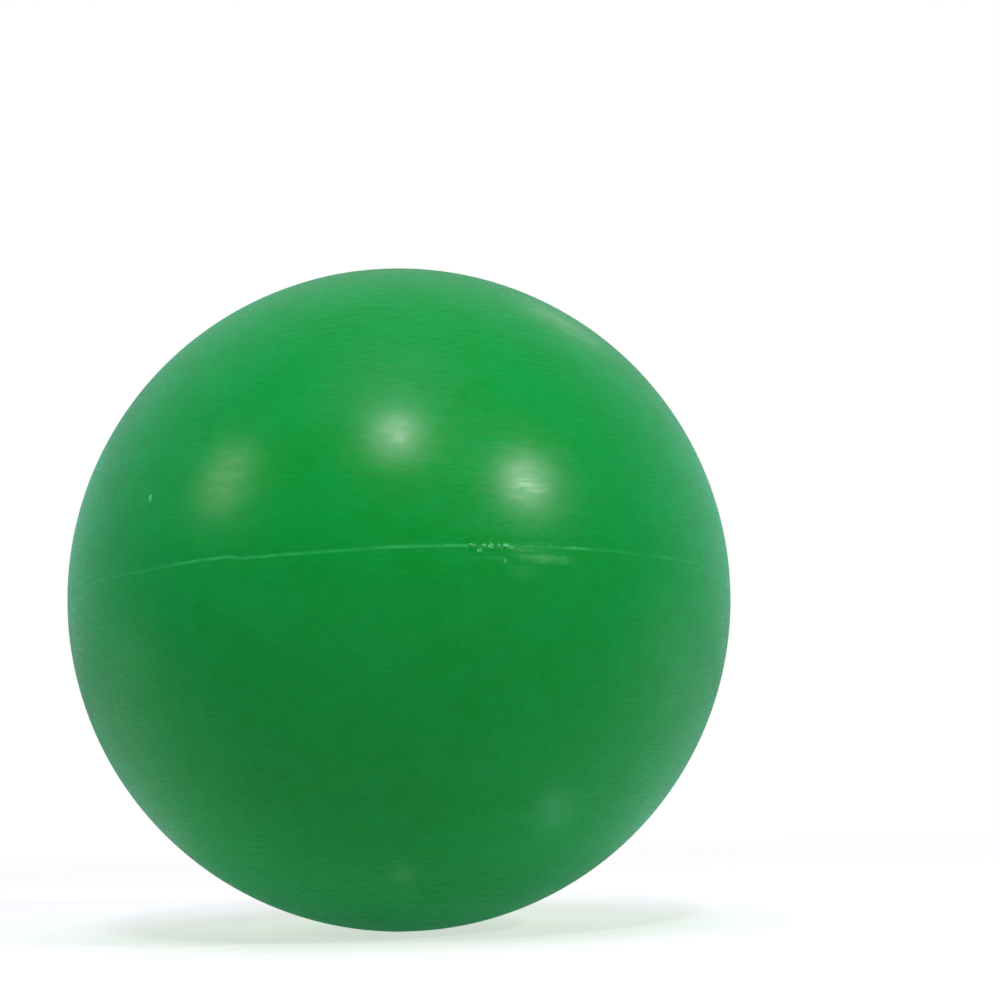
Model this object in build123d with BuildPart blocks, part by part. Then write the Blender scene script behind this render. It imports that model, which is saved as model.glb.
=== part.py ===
from build123d import *
import os
from math import cos, radians, sin, sqrt

# A filled juggling ball. Two moulded half shells are bonded along a tongue and groove at the equator, a
# push-in plug closes the filling port, and loose grain lies inside. Everything is a body of revolution.
#
# Millimetres, +Z up, origin at the ball's centre. The seam lies in the XY plane, the port and its plug are
# at the +Z pole, and the grain lies level in the bottom of the ball.

# Ball and wall
ball_radius = 35.0
wall = 4.0
cavity_radius = ball_radius - wall

# Seam: a tongue on the upper half stands in a groove in the lower half, with adhesive all round it
groove_inner_radius = 32.3
groove_outer_radius = 33.7
groove_depth = 1.8
adhesive_wall = 0.2
tongue_inner_radius = groove_inner_radius + adhesive_wall
tongue_outer_radius = groove_outer_radius - adhesive_wall
tongue_length = 1.5
tongue_chamfer = 0.2
film = 0.15  # thickness of the adhesive between the flat lands outside the tongue

# Bead of squeezed-out adhesive, standing in a shallow V round the outside of the seam
bead_half_width = 0.16
bead_proud = 0.05
bead_root_radius = ball_radius - 0.3

# Filling port in the upper half: a flat ledge for the plug's head and a tapered hole below it
ledge_radius = 6.55
ledge_height = 33.2
port_edge_fillet = 0.25
port_top_radius = 4.7
port_bottom_radius = 4.4

# Plug: a domed head and a tapered stem with two grip ribs and a cored-out middle
plug_gap = 0.08
head_radius = ledge_radius - plug_gap
head_edge_fillet = 0.25
stem_end = 30.9
rib_heights = (32.45, 31.45)
rib_proud = 0.25
rib_half_height = 0.3
stem_inset = plug_gap + rib_proud  # from the port's wall to the stem between the ribs
core_radius = 2.6
core_depth = 1.9

# Gate mark at the bottom of the lower half: a shallow round scoop left by the mould
gate_scoop_radius = 5.0
gate_scoop_depth = 0.12

# Grain
grain_gap = 0.3
grain_radius = cavity_radius - grain_gap
grain_level = -4.2
grain_edge_fillet = 1.5


def on_circle(radius, angle):
    """Radius and height of a point on a circle about the centre, at an angle in degrees above the seam."""
    return radius * cos(radians(angle)), radius * sin(radians(angle))


def height_on_sphere(sphere_radius, ring_radius):
    """Height above the seam of a level ring of that radius on a sphere about the centre."""
    return sqrt(sphere_radius**2 - ring_radius**2)


def on_sphere(sphere_radius, ring_radius):
    """Radius and height of a point on the upper half of a sphere about the centre."""
    return ring_radius, height_on_sphere(sphere_radius, ring_radius)


def port_radius(height):
    """Radius of the port's tapered wall at a height."""
    foot_height = height_on_sphere(cavity_radius, port_bottom_radius)
    share = (height - foot_height) / (ledge_height - foot_height)
    return port_bottom_radius + share * (port_top_radius - port_bottom_radius)


# The two faces of the seam, each as radius and height from the outside of the ball inwards
bead_edge_radius = height_on_sphere(ball_radius, bead_half_width)
tongue_face = [
    (bead_edge_radius, bead_half_width),
    (bead_root_radius, film / 2),
    (tongue_outer_radius, film / 2),
    (tongue_outer_radius, tongue_chamfer - tongue_length),
    (tongue_outer_radius - tongue_chamfer, -tongue_length),
    (tongue_inner_radius + tongue_chamfer, -tongue_length),
    (tongue_inner_radius, tongue_chamfer - tongue_length),
    (tongue_inner_radius, 0),
]
groove_face = [
    (bead_edge_radius, -bead_half_width),
    (bead_root_radius, -film / 2),
    (groove_outer_radius, -film / 2),
    (groove_outer_radius, -groove_depth),
    (groove_inner_radius, -groove_depth),
    (groove_inner_radius, 0),
]

os.makedirs("parts", exist_ok=True)

# Upper half shell, with the tongue and the filling port
with BuildPart() as upper_half_shell:
    with BuildSketch(Plane.XZ):
        with BuildLine():
            port_rim = on_sphere(ball_radius, ledge_radius)
            port_foot = on_sphere(cavity_radius, port_bottom_radius)
            ThreePointArc(port_rim, on_circle(ball_radius, 45), tongue_face[0])
            Polyline(*tongue_face, (cavity_radius, 0))
            ThreePointArc((cavity_radius, 0), on_circle(cavity_radius, 45), port_foot)
            Polyline(port_foot, (port_top_radius, ledge_height), (ledge_radius, ledge_height), port_rim)
        make_face()
        fillet(vertices().sort_by_distance(port_rim)[0], port_edge_fillet)
    revolve(axis=Axis.Z)
upper_half_shell.part.label = "upper_half_shell"
export_step(upper_half_shell.part, "parts/upper_half_shell.step")

# Lower half shell, with the groove and the gate mark
with BuildPart() as lower_half_shell:
    with BuildSketch(Plane.XZ):
        with BuildLine():
            ThreePointArc((0, -ball_radius), on_circle(ball_radius, -45), groove_face[0])
            Polyline(*groove_face, (cavity_radius, 0))
            ThreePointArc((cavity_radius, 0), on_circle(cavity_radius, -45), (0, -cavity_radius))
            Line((0, -cavity_radius), (0, -ball_radius))
        make_face()
    revolve(axis=Axis.Z)
    with Locations((0, 0, gate_scoop_depth - ball_radius - gate_scoop_radius)):
        Sphere(gate_scoop_radius, mode=Mode.SUBTRACT)
lower_half_shell.part.label = "lower_half_shell"
export_step(lower_half_shell.part, "parts/lower_half_shell.step")

# Adhesive: a U round the tongue, a film across the outer land, and the bead that shows as the seam line
with BuildPart() as seam_adhesive:
    with BuildSketch(Plane.XZ):
        with BuildLine():
            ThreePointArc(tongue_face[0], (ball_radius + bead_proud, 0), groove_face[0])
            Polyline(*groove_face, *reversed(tongue_face))
        make_face()
    revolve(axis=Axis.Z)
seam_adhesive.part.label = "seam_adhesive"
export_step(seam_adhesive.part, "parts/seam_adhesive.step")

# Plug: the head's dome lies flush with the ball, and its underside sits on the port's ledge
with BuildPart() as filling_plug:
    with BuildSketch(Plane.XZ):
        with BuildLine():
            head_rim = on_sphere(ball_radius, head_radius)
            core_top = stem_end + core_depth
            stem_outline = [(port_radius(ledge_height) - stem_inset, ledge_height)]
            for rib_height in rib_heights:
                rib_top = rib_height + rib_half_height
                rib_bottom = rib_height - rib_half_height
                stem_outline.append((port_radius(rib_top) - stem_inset, rib_top))
                stem_outline.append((port_radius(rib_height) - plug_gap, rib_height))
                stem_outline.append((port_radius(rib_bottom) - stem_inset, rib_bottom))
            stem_outline.append((port_radius(stem_end) - stem_inset, stem_end))
            ThreePointArc((0, ball_radius), on_sphere(ball_radius, head_radius / 2), head_rim)
            Polyline(head_rim, (head_radius, ledge_height), *stem_outline, (core_radius, stem_end))
            Polyline((core_radius, stem_end), (core_radius, core_top), (0, core_top), (0, ball_radius))
        make_face()
        fillet(vertices().sort_by_distance(head_rim)[0], head_edge_fillet)
    revolve(axis=Axis.Z)
filling_plug.part.label = "filling_plug"
export_step(filling_plug.part, "parts/filling_plug.step")

# Grain: the settled bed, level on top and clear of the wall all round
with BuildPart() as millet_fill:
    with BuildSketch(Plane.XZ):
        with BuildLine():
            bed_rim = (height_on_sphere(grain_radius, grain_level), grain_level)
            ThreePointArc((0, -grain_radius), on_circle(grain_radius, -45), bed_rim)
            Polyline(bed_rim, (0, grain_level), (0, -grain_radius))
        make_face()
        fillet(vertices().sort_by_distance(bed_rim)[0], grain_edge_fillet)
    revolve(axis=Axis.Z)
millet_fill.part.label = "millet_fill"
export_step(millet_fill.part, "parts/millet_fill.step")
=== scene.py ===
import math

import bpy
import numpy as np
from mathutils import Matrix, Vector, noise


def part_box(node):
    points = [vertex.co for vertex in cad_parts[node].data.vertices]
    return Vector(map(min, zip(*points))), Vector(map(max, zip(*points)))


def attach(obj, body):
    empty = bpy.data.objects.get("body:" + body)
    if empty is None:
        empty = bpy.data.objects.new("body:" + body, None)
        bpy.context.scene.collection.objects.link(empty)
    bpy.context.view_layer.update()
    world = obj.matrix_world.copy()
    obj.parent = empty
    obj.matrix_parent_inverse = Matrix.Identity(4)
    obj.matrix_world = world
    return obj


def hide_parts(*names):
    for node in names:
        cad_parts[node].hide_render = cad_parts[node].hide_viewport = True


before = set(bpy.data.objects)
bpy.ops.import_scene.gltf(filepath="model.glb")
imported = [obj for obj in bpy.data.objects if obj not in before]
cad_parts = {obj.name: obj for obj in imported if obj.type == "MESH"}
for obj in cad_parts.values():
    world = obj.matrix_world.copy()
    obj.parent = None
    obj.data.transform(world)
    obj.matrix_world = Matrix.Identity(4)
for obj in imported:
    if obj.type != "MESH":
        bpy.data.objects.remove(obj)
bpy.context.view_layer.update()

# A filled juggling ball. Metres and degrees, in the frame's own axes: +Z is up through the plug, and
# the seam lies round Z = 0. Azimuth is 0 at the front, at -Y, and grows towards +X. Elevation is 0 at
# the seam, and grows upwards.

MM = 0.001

# Sizes that the frame gives
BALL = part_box("filling_plug")[1].z
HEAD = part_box("filling_plug")[1].x
STEM_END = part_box("filling_plug")[0].z
TONGUE_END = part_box("upper_half_shell")[0].z
GROOVE_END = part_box("seam_adhesive")[0].z
BEAD_HALF_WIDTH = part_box("seam_adhesive")[1].z
BEAD_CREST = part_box("seam_adhesive")[1].x
BED_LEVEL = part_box("millet_fill")[1].z
BED_RADIUS = -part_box("millet_fill")[0].z

# Sizes inside the frame's pieces, which their boxes don't give
CAVITY = 31.0 * MM
GROOVE_INNER, GROOVE_OUTER = 32.3 * MM, 33.7 * MM
TONGUE_INNER, TONGUE_OUTER = 32.5 * MM, 33.5 * MM
TONGUE_CHAMFER = 0.2 * MM
HALF_FILM = 0.075 * MM
BEAD_ROOT = 34.7 * MM
LEDGE, LEDGE_HEIGHT = 6.55 * MM, 33.2 * MM
PORT_TOP, PORT_FOOT = 4.7 * MM, 4.4 * MM
RIM_ROUNDING = 0.25 * MM
RIB_HEIGHTS = (32.45 * MM, 31.45 * MM)
RIB_PROUD, RIB_HALF_HEIGHT = 0.25 * MM, 0.3 * MM
CORE, CORE_TOP, CORE_CHAMFER = 2.6 * MM, 32.8 * MM, 0.4 * MM
GATE_SCOOP, GATE_DEPTH = 1.09 * MM, 0.12 * MM

# Marks on the outside
NIB_SPAN = (10.0, 16.6)
# Smears below the seam: azimuth, half length in degrees, height and half height in mm, slant, strength
SMEARS = (
    (21.6, 5.2, -1.02, 0.46, 0.30, 0.55),
    (18.6, 2.6, -0.32, 0.20, 0.10, 0.40),
    (13.6, 3.0, -1.00, 0.16, 0.00, 0.18),
    (18.5, 3.2, -2.20, 0.90, 0.00, 0.12),
)
NICK_AZIMUTH, NICK_HEIGHT = -41.5, 6.87 * MM

# Looks that two materials share. The sheen makes the plastic paler and mintier towards the ball's edge.
LINE_COLOUR = (0.045, 0.80, 0.17, 1)
SCUFF_COLOUR, NICK_COLOUR = (0.19, 0.80, 0.30, 1), (0.24, 1.0, 0.55, 1)
PLASTIC_IOR = 1.5
SHEEN = {"Sheen Weight": 0.5, "Sheen Roughness": 0.6, "Sheen Tint": (0.09, 1.0, 0.61, 1)}

# Camera: a close-up from a little below the seam's plane
CAMERA_DISTANCE = 5 * BALL
CAMERA_ELEVATION, CAMERA_ROLL = -7.49, 1.72
LENS, SENSOR, SHIFT = 58.5, 36.0, (0.101, 0.100)

# Lamps: name, azimuth, elevation, light that falls on the ball, width and height, and colour. A fill lamp
# is large and soft, and doesn't show in the ball's gloss.
LAMP_DISTANCE = 1.0
LAMPS = (
    ("lamp_top", 1.25, 46.8, 0.49, 0.09, 0.09, (0.97, 1.0, 0.96)),
    ("lamp_right", 46.0, 28.8, 0.60, 0.085, 0.085, (1.0, 0.97, 0.95)),
    ("window_right", 46.0, 24.0, 0.05, 0.10, 0.40, (1.0, 1.0, 0.95)),
    ("window_left", -63.2, 31.4, 0.24, 0.22, 0.34, (1.0, 1.0, 0.8)),
    ("lamp_behind", 151.6, 41.4, 0.021, 0.20, 0.20, (1.0, 1.0, 1.0)),
    ("fill_top", 0.0, 70.0, 0.95, 0.60, 0.60, (1.0, 1.0, 1.3)),
)

# The room round the ball: its brightness in front and behind, and where one turns into the other
ROOM_FRONT, ROOM_BACK = 0.02, 0.40
ROOM_TURN = (-0.3, 0.9)

# The floor as it shows in the ball's gloss, and as it lights the ball. Its glow is given under the ball,
# in front and behind, and its paint in the gloss in front and behind.
FLOOR_HALF_SIZE = 4.0
FLOOR_TURN = (-0.06, 0.02)
FLOOR_NEAR = (0.015, 0.055)
# Under the ball, within FLOOR_NEAR, the glow is lower: painted shade that stands in for the ball's shadow
# round its foot.
GLOSS_GLOW, LIGHT_GLOW = (0.0, 0.01, 0.14), (0.10, 0.01, 0.42)
GLOSS_PAINT, LIGHT_PAINT = (0.02, 0.4), 0.5
# The floor as the camera sees it: paint and glow near the ball, fading to white between two distances
SEEN_PAINT, SEEN_GLOW = 0.72, 0.60
SEEN_FADE = (0.08, 0.45)
# Painted reflections of the two lamps in a glossy floor in front of the ball, which glow only in its
# gloss: X, Y, radius and colour
PAINTED_LAMP_REFLECTIONS = (
    (22.7 * MM, -19.9 * MM, 6.0 * MM, (0.6, 1.0, 1.05)),
    (-0.5 * MM, -17.9 * MM, 2.5 * MM, (0.42, 0.42, 0.42)),
)


# ---------------------------------------------------------------- numbers and outlines


def smoothstep(low, high, x):
    t = np.clip((np.asarray(x, float) - low) / (high - low), 0.0, 1.0)
    return t * t * (3.0 - 2.0 * t)


def ripple(angle, *waves):
    """Sum of sine waves round the ball. Each wave is (waves in a turn, height, start in degrees)."""
    turn = np.radians(np.asarray(angle, float))
    return sum(height * np.sin(count * turn + math.radians(start)) for count, height, start in waves)


def direction(azimuth, elevation):
    """Unit vector from the ball's centre."""
    a, e = math.radians(azimuth), math.radians(elevation)
    return Vector((math.cos(e) * math.sin(a), -math.cos(e) * math.cos(a), math.sin(e)))


def on_circle(radius, elevation):
    """Radius and height of a point on a circle about the ball's centre."""
    return radius * math.cos(math.radians(elevation)), radius * math.sin(math.radians(elevation))


def arc(radius, *stops):
    """An outline along a circle, through stops of (elevation, spacing from here to the next stop)."""
    points = []
    for (here, step), (there, _) in zip(stops, stops[1:]):
        count = max(1, round(abs(there - here) / step))
        points += [on_circle(radius, e) for e in np.linspace(here, there, count, endpoint=False)]
    return points + [on_circle(radius, stops[-1][0])]


def rounded(corner, before, after, size, count=6):
    """Points of a small curve that stands for an outline's sharp corner, between its two neighbours."""
    corner, before, after = (np.array(point, float) for point in (corner, before, after))
    start = corner + (before - corner) / np.linalg.norm(before - corner) * size
    end = corner + (after - corner) / np.linalg.norm(after - corner) * size
    shares = np.linspace(0, 1, count)
    return [tuple((1 - t)**2 * start + 2 * t * (1 - t) * corner + t**2 * end) for t in shares]


def azimuths(coarse, fine, spans):
    """Azimuths round a full turn, closer together in the given spans and easing into them."""
    easing = 0.12
    found, angle = [], -180.0
    while angle < 180.0 - fine:
        found.append(angle)
        away = min(max(low - angle, angle - high, 0.0) for low, high in spans)
        angle += min(coarse, fine + easing * away)
    return np.array(found)


# ---------------------------------------------------------------- meshes


def make_piece(name, vertices, faces, attributes=None, sharp=40):
    """A smooth-shaded object. Its edges stay sharp where its faces turn by more than `sharp` degrees."""
    mesh = bpy.data.meshes.new(name)
    mesh.from_pydata(vertices, [], faces)
    for attribute, values in (attributes or {}).items():
        layer = mesh.attributes.new(attribute, "FLOAT", "POINT")
        layer.data.foreach_set("value", np.asarray(values, np.float32))
    mesh.polygons.foreach_set("use_smooth", [True] * len(mesh.polygons))
    mesh.set_sharp_from_angle(angle=math.radians(sharp))
    mesh.update()
    piece = bpy.data.objects.new(name, mesh)
    bpy.context.scene.collection.objects.link(piece)
    return piece


def lathe(name, outline, angles, shape=None, masks=None):
    """A closed outline of (radius, height) points, turned about Z. A point on the axis gives one vertex.

    The outline runs clockwise, with radius to the right and height up, so that its faces look out.
    shape(radius, height, azimuth) moves the points, and masks gives attributes by azimuth and height.
    """
    outline = np.array(outline, float)
    rows, columns = len(outline), len(angles)
    azimuth = np.tile(angles, (rows, 1))
    radius, height = (np.repeat(outline[:, k:k + 1], columns, axis=1) for k in (0, 1))
    values = {key: mask(azimuth, height) for key, mask in (masks or {}).items()}
    if shape:
        radius, height = shape(radius, height, azimuth)
    turn = np.radians(azimuth)
    points = np.stack([radius * np.sin(turn), -radius * np.cos(turn), height], axis=2)
    on_axis = outline[:, 0] < 1e-9
    kept = np.ones((rows, columns), bool)
    kept[on_axis, 1:] = False
    index = (np.cumsum(kept.ravel()) - 1).reshape(rows, columns)
    index[on_axis] = index[on_axis, :1]
    faces = []
    for row in range(rows):
        here, below = index[row], index[(row + 1) % rows]
        if on_axis[row] and on_axis[(row + 1) % rows]:
            continue
        corners = np.stack([here, below, np.roll(below, -1), np.roll(here, -1)], axis=1)
        faces += [tuple(dict.fromkeys(face)) for face in corners.tolist()]
    values = {key: value[kept] for key, value in values.items()}
    return make_piece(name, points[kept].tolist(), faces, values)


# ---------------------------------------------------------------- the surface of the ball


def seam_wander(azimuth):
    """How far the seam strays from its plane, where its bead was trimmed by hand."""
    slow = ripple(azimuth, (5, 0.03 * MM, 20), (13, 0.02 * MM, 75), (31, 0.012 * MM, 140))
    lift = smoothstep(-42, -31, azimuth) - 1.9 * smoothstep(-25.5, -22.5, azimuth)
    lift = lift + 0.9 * smoothstep(-20, 8, azimuth)
    return slow + 0.12 * MM * lift


def near_seam(radius, height):
    """1 at the seam's outer edge, fading to 0 away from it and into the wall."""
    beside = 1.0 - smoothstep(0.3 * MM, 2.2 * MM, np.abs(height))
    return smoothstep(GROOVE_OUTER + 0.1 * MM, BEAD_ROOT, radius) * beside


def smear_mask(azimuth, height):
    """Strength of the soft scraped smears, which fade out raggedly."""
    ragged = ripple(azimuth, (97, 0.10, 10), (211, 0.08, 60))
    ragged = ragged + 0.12 * np.sin(height / (0.09 * MM) + 0.35 * azimuth)
    found = np.zeros_like(azimuth)
    for centre, half_length, level, half_height, slant, strength in SMEARS:
        along = (azimuth - centre) / half_length
        across = (height / MM - level) / half_height + slant * along
        fade = smoothstep(0.1, 1.15, np.hypot(along, across) + ragged)
        found = np.maximum(found, strength * (1.0 - fade))
    return found


def nick_mask(azimuth, height):
    """1 in the small slanting nick on the upper half."""
    along = (height - NICK_HEIGHT) / (0.46 * MM)
    across = (np.radians(azimuth - NICK_AZIMUTH) * BALL + 0.05 * (height - NICK_HEIGHT)) / (0.32 * MM)
    return 1.0 - smoothstep(0.4, 1.0, np.hypot(along, across))


def relief(azimuth, height):
    """How far the outside stands above a true sphere: broad unevenness, the trimmed band and marks."""
    level = math.pi * height / BALL
    broad = 0.012 * MM * ripple(azimuth, (3, 0.6, 30), (7, 0.3, 80)) * np.cos(level)
    broad = broad + 0.006 * MM * ripple(azimuth, (11, 0.5, 5)) * np.sin(5 * level)
    trimmed = -0.015 * MM * (1.0 - smoothstep(0.25 * MM, 1.3 * MM, np.abs(height)))
    ridges = 0.004 * MM * np.sin(height / (0.045 * MM) + ripple(azimuth, (61, 1.2, 0), (130, 0.8, 40)))
    scrape = smear_mask(azimuth, height) * (ridges - 0.010 * MM)
    nick = -0.03 * MM * nick_mask(azimuth, height)
    return broad + trimmed + scrape + nick


def weathered(radius, height, azimuth):
    """A shell's outline as it really is: relief outside, and the seam's edge where the seam strays."""
    outside = smoothstep(BALL - 0.2 * MM, BALL - 0.05 * MM, np.hypot(radius, height))
    grow = 1.0 + outside * relief(azimuth, height) / BALL
    return radius * grow, height * grow + seam_wander(azimuth) * near_seam(radius, height)


# ---------------------------------------------------------------- the ball's pieces


def line_paleness(azimuth, height):
    """How pale the seam's line is: patchy along the seam, and fading into the shells on both sides."""
    return bead_fullness(azimuth) * (1.0 - smoothstep(0.03 * MM, 0.20 * MM, np.abs(height)))


BEAD_EDGE = math.degrees(math.asin(BEAD_HALF_WIDTH / BALL))
MARKED_SPANS = ((-43.0, -40.0), (NIB_SPAN[0] - 0.5, 28.0))

# The tongue's side of the seam, from the bead's root inwards
TONGUE_OUTLINE = [
    (BEAD_ROOT, HALF_FILM),
    (TONGUE_OUTER, HALF_FILM),
    (TONGUE_OUTER, TONGUE_END + TONGUE_CHAMFER),
    (TONGUE_OUTER - TONGUE_CHAMFER, TONGUE_END),
    (TONGUE_INNER + TONGUE_CHAMFER, TONGUE_END),
    (TONGUE_INNER, TONGUE_END + TONGUE_CHAMFER),
    (TONGUE_INNER, 0.0),
]

# The groove's side, from the bead's root inwards
GROOVE_OUTLINE = [
    (BEAD_ROOT, -HALF_FILM),
    (GROOVE_OUTER, -HALF_FILM),
    (GROOVE_OUTER, GROOVE_END),
    (GROOVE_INNER, GROOVE_END),
    (GROOVE_INNER, 0.0),
]


def upper_shell():
    rim = (LEDGE, math.sqrt(BALL**2 - LEDGE**2))
    rim_elevation = math.degrees(math.acos(LEDGE / BALL))
    below_rim = on_circle(BALL, rim_elevation - 1)
    lip = rounded(rim, (LEDGE, LEDGE_HEIGHT), below_rim, RIM_ROUNDING)
    by_nick, by_seam = ((13.0, 0.8), (12.2, 0.12), (10.3, 0.8)), ((4.0, 0.25), (0.9, 0.1))
    outside = arc(BALL, (rim_elevation - 1, 1.6), *by_nick, *by_seam, (BEAD_EDGE, 1))
    cavity = arc(CAVITY, (0, 3), (math.degrees(math.acos(PORT_FOOT / CAVITY)), 3))
    ledge = [(PORT_TOP, LEDGE_HEIGHT), (LEDGE, LEDGE_HEIGHT)]
    outline = lip + outside + TONGUE_OUTLINE + cavity + ledge
    masks = {"nick": nick_mask, "pale": line_paleness}
    return lathe("shell_upper", outline, azimuths(0.7, 0.12, MARKED_SPANS), weathered, masks)


def lower_shell():
    scoop_edge = math.degrees(math.acos(GATE_SCOOP / BALL))
    by_seam, by_gate = ((-BEAD_EDGE, 0.1), (-3.2, 0.16), (-6.0, 1.6)), (-scoop_edge + 2, 0.25)
    outside = arc(BALL, *by_seam, by_gate, (-scoop_edge, 1))
    scoop = [(GATE_SCOOP * s, -BALL + GATE_DEPTH * (1.0 - s**2)) for s in (0.9, 0.7, 0.45, 0.2, 0.0)]
    cavity = [(0.0, -CAVITY)] + arc(CAVITY, (-88.5, 3), (0, 3))
    outline = outside + scoop + cavity + GROOVE_OUTLINE[::-1]
    masks = {"scuff": smear_mask, "pale": line_paleness}
    return lathe("shell_lower", outline, azimuths(0.7, 0.12, MARKED_SPANS[1:]), weathered, masks)


def bead_fullness(azimuth):
    """From 0 to 1: full left of the front, thin to the right, and torn off among the nibs."""
    full = 0.34 + 0.30 * smoothstep(-36, -31, azimuth) * (1.0 - smoothstep(9.0, 10.4, azimuth))
    full = full + 0.25 * smoothstep(-37, -33, azimuth) * (1.0 - smoothstep(-27, -21, azimuth))
    full = full + 0.15 * smoothstep(-6, 2, azimuth) * (1.0 - smoothstep(9.0, 10.4, azimuth))
    full = full + 0.35 * smoothstep(26.0, 27.0, azimuth) * (1.0 - smoothstep(28.0, 29.5, azimuth))
    full = full + ripple(azimuth, (17, 0.08, 0), (41, 0.13, 90), (113, 0.15, 30), (257, 0.11, 75))
    torn = smoothstep(NIB_SPAN[0], NIB_SPAN[0] + 0.4, azimuth) * (1.0 - smoothstep(16.2, 17.4, azimuth))
    return np.clip(full, 0.12, 1.0) * (1.0 - 0.6 * torn)


def bead_shape(radius, height, azimuth):
    """The bead stands a little proud where it is full, and sinks into the seam's V where it is thin."""
    share = np.clip((radius - BEAD_ROOT) / (BALL - BEAD_ROOT), 0.0, 1.0)
    crown = np.clip(1.0 - (height / BEAD_HALF_WIDTH)**2, 0.0, 1.0) * share**2
    proud = crown * MM * (0.028 * bead_fullness(azimuth) - 0.010)
    radius = np.minimum(radius, np.sqrt(BALL**2 - height**2)) + proud
    return weathered(radius, height, azimuth)


def seam_bead():
    across = np.linspace(1, -1, 9)
    crest = [(BEAD_CREST - (BEAD_CREST - BALL) * t**2, BEAD_HALF_WIDTH * t) for t in across]
    outline = crest + GROOVE_OUTLINE + TONGUE_OUTLINE[::-1]
    masks = {"pale": line_paleness}
    return lathe("seam_bead", outline, azimuths(0.4, 0.12, MARKED_SPANS), bead_shape, masks)


def blob(rows, columns):
    """Vertices of a unit sphere made of rings with a point at each end, and its faces."""
    levels = np.radians(np.linspace(90, -90, rows + 1)[1:-1])
    turns = np.radians(np.arange(columns) * 360.0 / columns)
    rings = [
        (math.cos(e) * math.cos(a), math.cos(e) * math.sin(a), math.sin(e))
        for e in levels for a in turns
    ]
    last = len(rings) + 1
    faces = []
    for column in range(columns):
        beside = (column + 1) % columns
        faces.append((0, 1 + column, 1 + beside))
        for row in range(rows - 2):
            first = 1 + row * columns
            below = first + columns
            faces.append((first + column, below + column, below + beside, first + beside))
        faces.append((last, last - columns + beside, last - columns + column))
    return np.array([(0, 0, 1)] + rings + [(0, 0, -1)], float), faces


def seam_nibs():
    """Crumbs of torn adhesive along the seam, pressed onto the ball, each with its own lumpy shape."""
    # Azimuth, and in mm the height above the seam's line, half width, half height and how proud it stands
    crumbs = (
        (10.7, 0.06, 0.32, 0.15, 0.06),
        (11.8, -0.42, 0.22, 0.19, 0.07),
        (12.4, 0.06, 0.20, 0.14, 0.05),
        (13.45, 0.02, 0.22, 0.24, 0.07),
        (14.6, 0.10, 0.14, 0.16, 0.05),
        (15.85, 0.03, 0.32, 0.22, 0.07),
        (16.5, -0.12, 0.20, 0.14, 0.05),
        (15.5, -1.30, 0.16, 0.24, 0.05),
    )
    unit, unit_faces = blob(10, 16)
    vertices, faces = [], []
    for azimuth, above, half_width, half_height, proud in crumbs:
        out = direction(azimuth, math.degrees((above * MM + float(seam_wander(azimuth))) / BALL))
        side = Vector((0, 0, 1)).cross(out).normalized()
        axes = Matrix((side, out.cross(side), out)).transposed()
        first = len(vertices)
        for x, y, z in unit:
            lump = 1.1 + 0.75 * noise.noise(Vector((1.9 * x, 1.9 * y, 1.9 * z + azimuth)))
            local = (half_width * x * lump, half_height * y * lump, proud * (1.8 * z * lump - 0.8))
            vertices.append(out * BALL + axes @ (Vector(local) * MM))
        faces += [tuple(first + corner for corner in face) for face in unit_faces]
    return make_piece("seam_nibs", vertices, faces, {"pale": [1.0] * len(vertices)})


def plug_relief(radius, height, azimuth):
    """The head's dome is a little uneven, and it has a shallow dimple where it was moulded."""
    on_top = smoothstep(BALL - 1.2 * MM, BALL - 0.9 * MM, height)
    dimple = -0.10 * MM * (1.0 - smoothstep(0.5 * MM, 0.95 * MM, radius))
    waves = ripple(azimuth, (2, 0.5, 40), (5, 0.3, 10))
    uneven = 0.010 * MM * waves * smoothstep(0.2 * MM, 3 * MM, radius)
    return radius, height + on_top * (dimple + uneven - 0.012 * MM)


def plug():
    rim_elevation = math.degrees(math.acos(HEAD / BALL))
    inside_rim = on_circle(BALL, rim_elevation + 1)
    rim = rounded(on_circle(BALL, rim_elevation), inside_rim, (HEAD, LEDGE_HEIGHT), RIM_ROUNDING)
    dome = [(0.0, BALL)] + arc(BALL, (89.6, 0.2), (88.0, 0.6), (rim_elevation + 1, 1))
    foot_height = math.sqrt(CAVITY**2 - PORT_FOOT**2)
    gap = LEDGE - HEAD

    def wall(level, proud=0.0):
        """A point on the stem: its wall follows the port's taper, and stands proud at the ribs."""
        share = (level - foot_height) / (LEDGE_HEIGHT - foot_height)
        return PORT_FOOT + share * (PORT_TOP - PORT_FOOT) - gap - RIB_PROUD + proud, level

    stem = [(HEAD, LEDGE_HEIGHT), wall(LEDGE_HEIGHT)]
    for level in RIB_HEIGHTS:
        for share in (1.0, 0.6, 0.25, -0.25, -0.6, -1.0):
            stem.append(wall(level + share * RIB_HALF_HEIGHT, RIB_PROUD * (1.0 - abs(share)**1.5)))
    core = [wall(STEM_END), (CORE, STEM_END)]
    core += [(CORE, CORE_TOP - CORE_CHAMFER), (CORE - CORE_CHAMFER, CORE_TOP), (0, CORE_TOP)]
    return lathe("plug_flush", dome + rim + stem + core, np.arange(-180, 180, 2.0), plug_relief)


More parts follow.
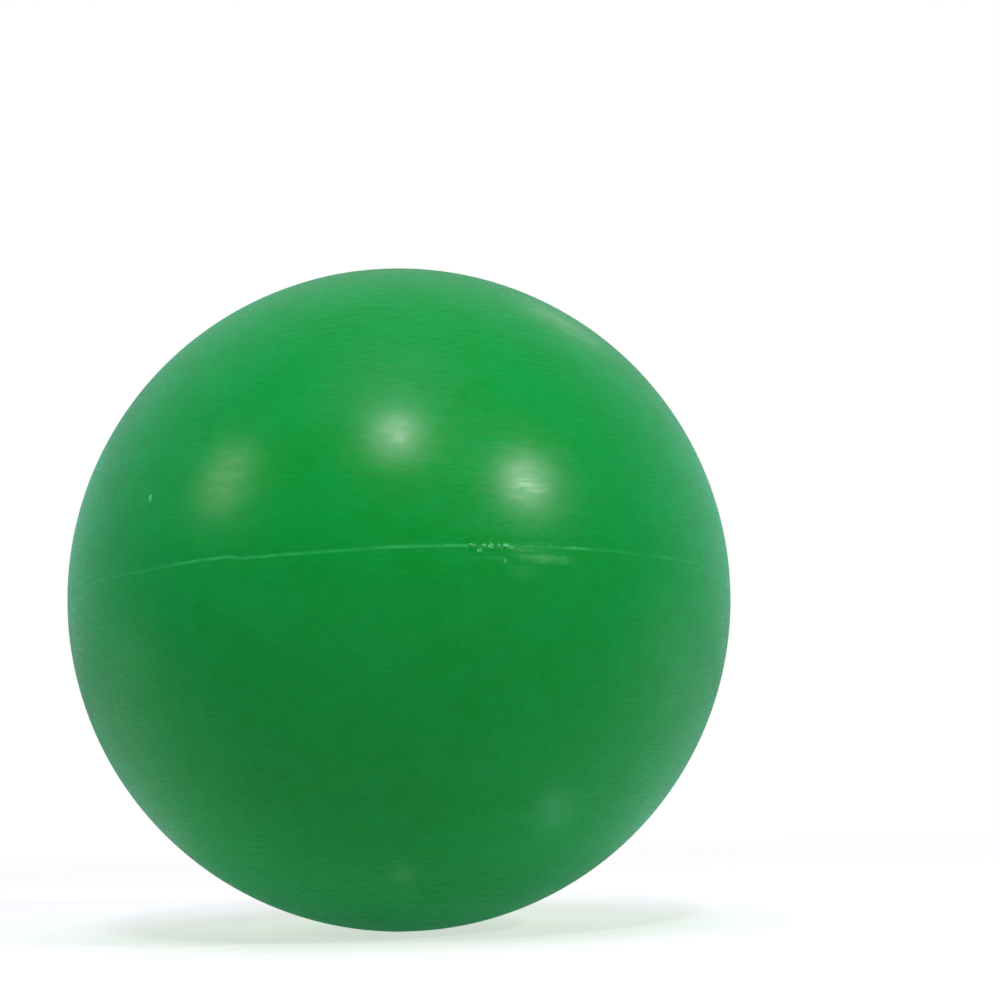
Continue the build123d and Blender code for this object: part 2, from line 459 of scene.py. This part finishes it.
def grain_places(size, random):
    """Centres of the grains that show on the bed: over its level top, and all over its round side."""
    pitch = 1.86 * size
    level = BED_LEVEL - 0.95 * size
    places = []
    reach = BED_RADIUS - 1.1 * size
    for row in np.arange(-reach, reach, pitch * math.sqrt(3) / 2):
        shift = 0.5 * pitch * (round(row / (pitch * math.sqrt(3) / 2)) % 2)
        for x in np.arange(-reach + shift, reach, pitch):
            x, y = x + random.normal(0, 0.16 * size), row + random.normal(0, 0.16 * size)
            z = level - abs(random.normal(0, 0.22 * size))
            if math.hypot(x, y) < math.sqrt(reach**2 - z**2) - 0.3 * size:
                places.append((x, y, z))
    count = round(4 * math.pi * reach**2 / (pitch**2 * math.sqrt(3) / 2))
    for step in range(count):
        z = reach * (1 - 2 * (step + 0.5) / count)
        if z < level - 0.6 * size:
            across = math.sqrt(reach**2 - z**2)
            turn = step * math.pi * (3 - math.sqrt(5))
            places.append((across * math.cos(turn), across * math.sin(turn), z))
    return np.array(places)


def grain_bed():
    """Millet: round husked seeds with a blunt tip, packed over a core that fills the bed's middle."""
    random = np.random.default_rng(5)
    size = 1.0 * MM
    unit, unit_faces = blob(6, 8)
    taper = 1.0 - 0.16 * unit[:, 2]
    unit = unit * np.stack([taper, taper, 1.0 + 0.12 * unit[:, 2]], axis=1)
    places = grain_places(size, random)
    turns = random.normal(size=(len(places), 4))
    vertices, faces, tones = [], [], []
    for place, turn in zip(places, turns / np.linalg.norm(turns, axis=1, keepdims=True)):
        w, x, y, z = turn
        spin = np.array([
            [1 - 2 * (y * y + z * z), 2 * (x * y - z * w), 2 * (x * z + y * w)],
            [2 * (x * y + z * w), 1 - 2 * (x * x + z * z), 2 * (y * z - x * w)],
            [2 * (x * z - y * w), 2 * (y * z + x * w), 1 - 2 * (x * x + y * y)],
        ])
        first = len(vertices)
        half_sizes = size * random.uniform(0.86, 1.0) * np.array([0.93, 0.93, 1.0])
        vertices += (place + (unit * half_sizes) @ spin.T).tolist()
        faces += [tuple(first + corner for corner in face) for face in unit_faces]
        tones += [random.uniform()] * len(unit)
    core_radius, core_level = BED_RADIUS - 1.6 * size, BED_LEVEL - 1.3 * size
    edge = -math.degrees(math.asin(-core_level / core_radius))
    outline = [(0.0, core_level)] + [(core_radius * s, core_level) for s in (0.3, 0.6, 0.9)]
    outline += arc(core_radius, (edge, 4), (-87, 1)) + [(0.0, -core_radius)]
    core = lathe("core", outline, np.arange(-180, 180, 4.0))
    first = len(vertices)
    vertices += [tuple(v.co) for v in core.data.vertices]
    faces += [tuple(first + corner for corner in face.vertices) for face in core.data.polygons]
    tones += [0.1] * len(core.data.vertices)
    bpy.data.objects.remove(core)
    return make_piece("millet_grains", vertices, faces, {"tone": tones}, sharp=60)


# ---------------------------------------------------------------- materials


def grey(value):
    return value, value, value, 1


class Nodes:
    """Short calls that add nodes to a tree."""

    def __init__(self, tree):
        self.tree = tree

    def put(self, node, socket, value):
        if isinstance(value, bpy.types.NodeSocket):
            self.tree.links.new(value, node.inputs[socket])
        else:
            node.inputs[socket].default_value = value

    def add(self, kind, inputs, **settings):
        node = self.tree.nodes.new(kind)
        for key, value in settings.items():
            setattr(node, key, value)
        for socket, value in inputs.items():
            self.put(node, socket, value)
        return node

    def noise(self, waves, detail=3.0, rough=0.5, distortion=0.0):
        """Noise with that many waves in a metre along X, Y and Z."""
        place = self.add("ShaderNodeTexCoord", {}).outputs["Object"]
        place = self.add("ShaderNodeVectorMath", {0: place, 1: waves}, operation="MULTIPLY").outputs[0]
        inputs = {"Vector": place, "Scale": 1.0}
        inputs |= {"Detail": detail, "Roughness": rough, "Distortion": distortion}
        return self.add("ShaderNodeTexNoise", inputs).outputs["Fac"]

    def remap(self, value, low, high, to_low, to_high):
        inputs = {"Value": value, "From Min": low, "From Max": high, "To Min": to_low, "To Max": to_high}
        return self.add("ShaderNodeMapRange", inputs, interpolation_type="SMOOTHSTEP").outputs["Result"]

    def mix(self, share, a, b):
        inputs = {0: share, 6: a, 7: b}
        return self.add("ShaderNodeMix", inputs, data_type="RGBA").outputs[2]

    def math(self, operation, a, b):
        return self.add("ShaderNodeMath", {0: a, 1: b}, operation=operation).outputs[0]

    def attribute(self, name):
        return self.add("ShaderNodeAttribute", {}, attribute_name=name).outputs["Fac"]

    def bump(self, height, distance, strength, under=None):
        inputs = {"Height": height, "Distance": distance, "Strength": strength}
        if under:
            inputs["Normal"] = under
        return self.add("ShaderNodeBump", inputs).outputs["Normal"]

    def paint(self, colour):
        return self.add("ShaderNodeBsdfDiffuse", {"Color": colour}).outputs[0]

    def glow(self, colour, strength=1.0):
        return self.add("ShaderNodeEmission", {"Color": colour, "Strength": strength}).outputs[0]

    def both(self, a, b):
        return self.add("ShaderNodeAddShader", {0: a, 1: b}).outputs[0]

    def blend(self, share, a, b):
        return self.add("ShaderNodeMixShader", {0: share, 1: a, 2: b}).outputs[0]


class Surface(Nodes):
    """A material round one Principled shader."""

    def __init__(self, name):
        self.material = bpy.data.materials.new(name)
        self.material.use_nodes = True
        super().__init__(self.material.node_tree)
        self.shader = self.tree.nodes["Principled BSDF"]

    def finish(self, sockets):
        for socket, value in sockets.items():
            self.put(self.shader, socket, value)
        return self.material


def moulded_plastic(name, dark, light, roughness, scuffed=True):
    """Satin moulded plastic: cloudy pigment with dark specks, and a gloss that is streaked and hazy.

    A scuffed one also shows the marks that its mesh carries: the seam's pale line, smears and the nick.
    """
    streak_swing, haze_swing, scuff_dullness = 0.035, 0.02, 0.12
    s = Surface(name)
    clouds = s.noise((170, 170, 230), 5.0, 0.65, 0.6)
    specks = s.noise((1300, 1300, 1800), 3.0, 0.6)
    streaks = s.noise((420, 420, 2300), 3.0, 0.6, 0.3)
    haze = s.noise((70, 70, 110), 4.0, 0.6, 0.8)
    dapple = s.noise((260, 260, 520), 3.0, 0.5)
    peel = s.noise((1700, 1700, 2300), 2.0, 0.5)

    speck_colour = tuple(0.7 * c for c in dark[:3]) + (1,)
    colour = s.mix(s.remap(clouds, 0.34, 0.66, 0.0, 1.0), dark, light)
    colour = s.mix(s.remap(specks, 0.45, 0.8, 0.0, 0.10), colour, speck_colour)
    dullness = s.remap(streaks, 0.35, 0.65, roughness - streak_swing, roughness + streak_swing)
    dullness = s.math("ADD", dullness, s.remap(haze, 0.35, 0.65, -haze_swing, haze_swing))
    normal = s.bump(dapple, 0.10 * MM, 0.18, s.bump(streaks, 0.06 * MM, 0.015))
    normal = s.bump(peel, 0.05 * MM, 0.03, normal)
    if scuffed:
        line = s.math("MULTIPLY", s.attribute("pale"), s.remap(specks, 0.35, 0.6, 0.7, 1.0))
        colour = s.mix(line, colour, LINE_COLOUR)
        scuff = s.attribute("scuff")
        broken = s.remap(s.noise((700, 700, 4200), 3.0, 0.65), 0.35, 0.6, 0.45, 1.0)
        colour = s.mix(s.math("MULTIPLY", scuff, broken), colour, SCUFF_COLOUR)
        colour = s.mix(s.attribute("nick"), colour, NICK_COLOUR)
        dullness = s.math("ADD", dullness, s.math("MULTIPLY", scuff, scuff_dullness))
    return s.finish({
        "Base Color": colour,
        "Roughness": dullness,
        "Normal": normal,
        "IOR": PLASTIC_IOR,
        "Subsurface Weight": 0.1,
        "Subsurface Radius": (0.1, 1.0, 0.25),
        "Subsurface Scale": 1.2 * MM,
        **SHEEN,
    })


def seam_plastic(name, dark, light):
    """The adhesive: paler than the shells, and a little rough where it was trimmed."""
    s = Surface(name)
    patches = s.noise((900, 900, 1200), 3.0, 0.6)
    paleness = s.math("MULTIPLY", s.attribute("pale"), s.remap(patches, 0.35, 0.6, 0.7, 1.0))
    return s.finish({
        "Base Color": s.mix(paleness, dark, light),
        "Roughness": s.remap(patches, 0.3, 0.7, 0.30, 0.42),
        "Normal": s.bump(s.noise((2600, 2600, 6000), 2.0, 0.6), 0.05 * MM, 0.15),
        "IOR": PLASTIC_IOR,
        **SHEEN,
    })


def millet_husk():
    """Pale straw-coloured husk. Each grain has its own tone, which its mesh carries."""
    s = Surface("millet_husk")
    mottle = s.noise((1800, 1800, 1800), 3.0, 0.6)
    colour = s.mix(s.attribute("tone"), (0.50, 0.27, 0.06, 1), (0.86, 0.66, 0.28, 1))
    colour = s.mix(s.remap(mottle, 0.5, 0.75, 0.0, 0.35), colour, (0.32, 0.16, 0.04, 1))
    return s.finish({
        "Base Color": colour,
        "Roughness": s.remap(mottle, 0.3, 0.7, 0.38, 0.6),
        "Normal": s.bump(mottle, 0.08 * MM, 0.3),
        "IOR": 1.45,
    })


def finish_piece(piece, material, body, node):
    """Gives a piece its looks and the body that it rides on, and hides the CAD node that it stands for.
    """
    piece.data.materials.append(material)
    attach(piece, body)
    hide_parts(node)


SHELL_COLOURS = (0.0, 0.490, 0.033, 1), (0.001, 0.524, 0.057, 1)
PLUG_COLOURS = (0.0, 0.34, 0.06, 1), (0.0, 0.40, 0.07, 1)
shell_green = moulded_plastic("shell_green", *SHELL_COLOURS, 0.28)
plug_green = moulded_plastic("plug_green", *PLUG_COLOURS, 0.42, scuffed=False)
adhesive = seam_plastic("seam_pale_green", (0.0, 0.51, 0.05, 1), LINE_COLOUR)
torn_adhesive = seam_plastic("seam_torn", (0.06, 0.62, 0.17, 1), (0.12, 0.80, 0.26, 1))
finish_piece(upper_shell(), shell_green, "shell", "upper_half_shell")
finish_piece(lower_shell(), shell_green, "shell", "lower_half_shell")
finish_piece(seam_bead(), adhesive, "shell", "seam_adhesive")
finish_piece(seam_nibs(), torn_adhesive, "shell", "seam_adhesive")
finish_piece(plug(), plug_green, "plug", "filling_plug")
finish_piece(grain_bed(), millet_husk(), "fill", "millet_fill")


# ---------------------------------------------------------------- floor, light and camera


def floor():
    """A pale floor that the ball rests on. It fades to white far off, and is clear from below.

    That is what the camera sees. In the ball's gloss and as light it is a sheet in a room, dark in front.
    """
    half = FLOOR_HALF_SIZE
    corners = [(-half, -half, -BALL), (half, -half, -BALL), (half, half, -BALL), (-half, half, -BALL)]
    piece = make_piece("floor", corners, [(0, 1, 2, 3)])
    s = Surface("floor_pale")
    s.tree.nodes.remove(s.shader)
    rays = s.add("ShaderNodeLightPath", {}).outputs
    in_gloss, seen = rays["Is Glossy Ray"], rays["Is Camera Ray"]
    place = s.add("ShaderNodeTexCoord", {}).outputs["Object"]
    away = s.add("ShaderNodeVectorMath", {0: place}, operation="LENGTH").outputs["Value"]
    depth = s.add("ShaderNodeSeparateXYZ", {0: place}).outputs["Y"]
    behind = s.remap(depth, *FLOOR_TURN, 0.0, 1.0)
    # Near the ball the glow drops to its under-ball value: painted shade round the ball's foot
    beyond_painted_shade = s.remap(away, *FLOOR_NEAR, 0.0, 1.0)

    glows = [s.mix(in_gloss, grey(light), grey(gloss)) for light, gloss in zip(LIGHT_GLOW, GLOSS_GLOW)]
    glow = s.glow(s.mix(beyond_painted_shade, glows[0], s.mix(behind, glows[1], glows[2])))
    gloss_paint = s.paint(s.mix(behind, grey(GLOSS_PAINT[0]), grey(GLOSS_PAINT[1])))
    sheet = s.both(s.blend(in_gloss, s.paint(grey(LIGHT_PAINT)), gloss_paint), glow)
    # Painted lamp reflections: glowing spots on the floor that only the ball's gloss sees
    for x, y, radius, colour in PAINTED_LAMP_REFLECTIONS:
        inputs = {0: place, 1: (x, y, -BALL)}
        off_centre = s.add("ShaderNodeVectorMath", inputs, operation="DISTANCE").outputs["Value"]
        strength = s.math("MULTIPLY", in_gloss, s.remap(off_centre, 0.0, radius, 1.0, 0.0))
        sheet = s.both(sheet, s.glow((*colour, 1), strength))

    near = s.both(s.paint(grey(SEEN_PAINT)), s.glow(grey(1.0), SEEN_GLOW))
    top = s.blend(s.remap(away, *SEEN_FADE, 0.0, 1.0), near, s.glow(grey(1.0)))
    clear = s.add("ShaderNodeBsdfTransparent", {}).outputs[0]
    from_below = s.add("ShaderNodeNewGeometry", {}).outputs["Backfacing"]
    surface = s.blend(seen, sheet, s.blend(from_below, top, clear))
    s.put(s.tree.nodes["Material Output"], "Surface", surface)
    piece.data.materials.append(s.material)


def sky():
    """White behind the ball. A room, dark on the camera's side, lights it and shows in its gloss."""
    world = bpy.data.worlds.new("room")
    world.use_nodes = True
    s = Nodes(world.node_tree)
    ray = s.add("ShaderNodeTexCoord", {}).outputs["Generated"]
    depth = s.add("ShaderNodeSeparateXYZ", {0: ray}).outputs["Y"]
    strength = s.remap(depth, *ROOM_TURN, ROOM_FRONT, ROOM_BACK)
    room = s.add("ShaderNodeBackground", {"Color": grey(1.0), "Strength": strength}).outputs[0]
    white = s.add("ShaderNodeBackground", {"Color": grey(1.0), "Strength": 1.0}).outputs[0]
    seen = s.add("ShaderNodeLightPath", {}).outputs["Is Camera Ray"]
    s.put(s.tree.nodes["World Output"], "Surface", s.blend(seen, room, white))
    bpy.context.scene.world = world


def lamp(name, azimuth, elevation, falls, width, height, colour):
    """An oval lamp that faces the ball's centre."""
    light = bpy.data.lights.new(name, "AREA")
    light.shape = "ELLIPSE"
    light.size, light.size_y = width, height
    light.energy = falls * math.pi * LAMP_DISTANCE**2
    light.color = colour
    piece = bpy.data.objects.new(name, light)
    bpy.context.scene.collection.objects.link(piece)
    out = direction(azimuth, elevation)
    piece.location = out * LAMP_DISTANCE
    piece.rotation_euler = out.to_track_quat("Z", "Y").to_euler()
    piece.visible_glossy = not name.startswith("fill")


def camera():
    data = bpy.data.cameras.new("camera")
    data.lens, data.sensor_width = LENS, SENSOR
    data.shift_x, data.shift_y = SHIFT
    data.clip_start, data.clip_end = 0.01, 20.0
    piece = bpy.data.objects.new("camera", data)
    bpy.context.scene.collection.objects.link(piece)
    back = direction(0, CAMERA_ELEVATION)
    right = Vector((0, 0, 1)).cross(back).normalized()
    level = Matrix((right, back.cross(right), back)).transposed()
    turned = level @ Matrix.Rotation(math.radians(-CAMERA_ROLL), 3, "Z")
    piece.matrix_world = Matrix.Translation(back * CAMERA_DISTANCE) @ turned.to_4x4()
    bpy.context.scene.camera = piece


floor()
sky()
for settings in LAMPS:
    lamp(*settings)
camera()
bpy.context.scene.view_settings.view_transform = "Standard"
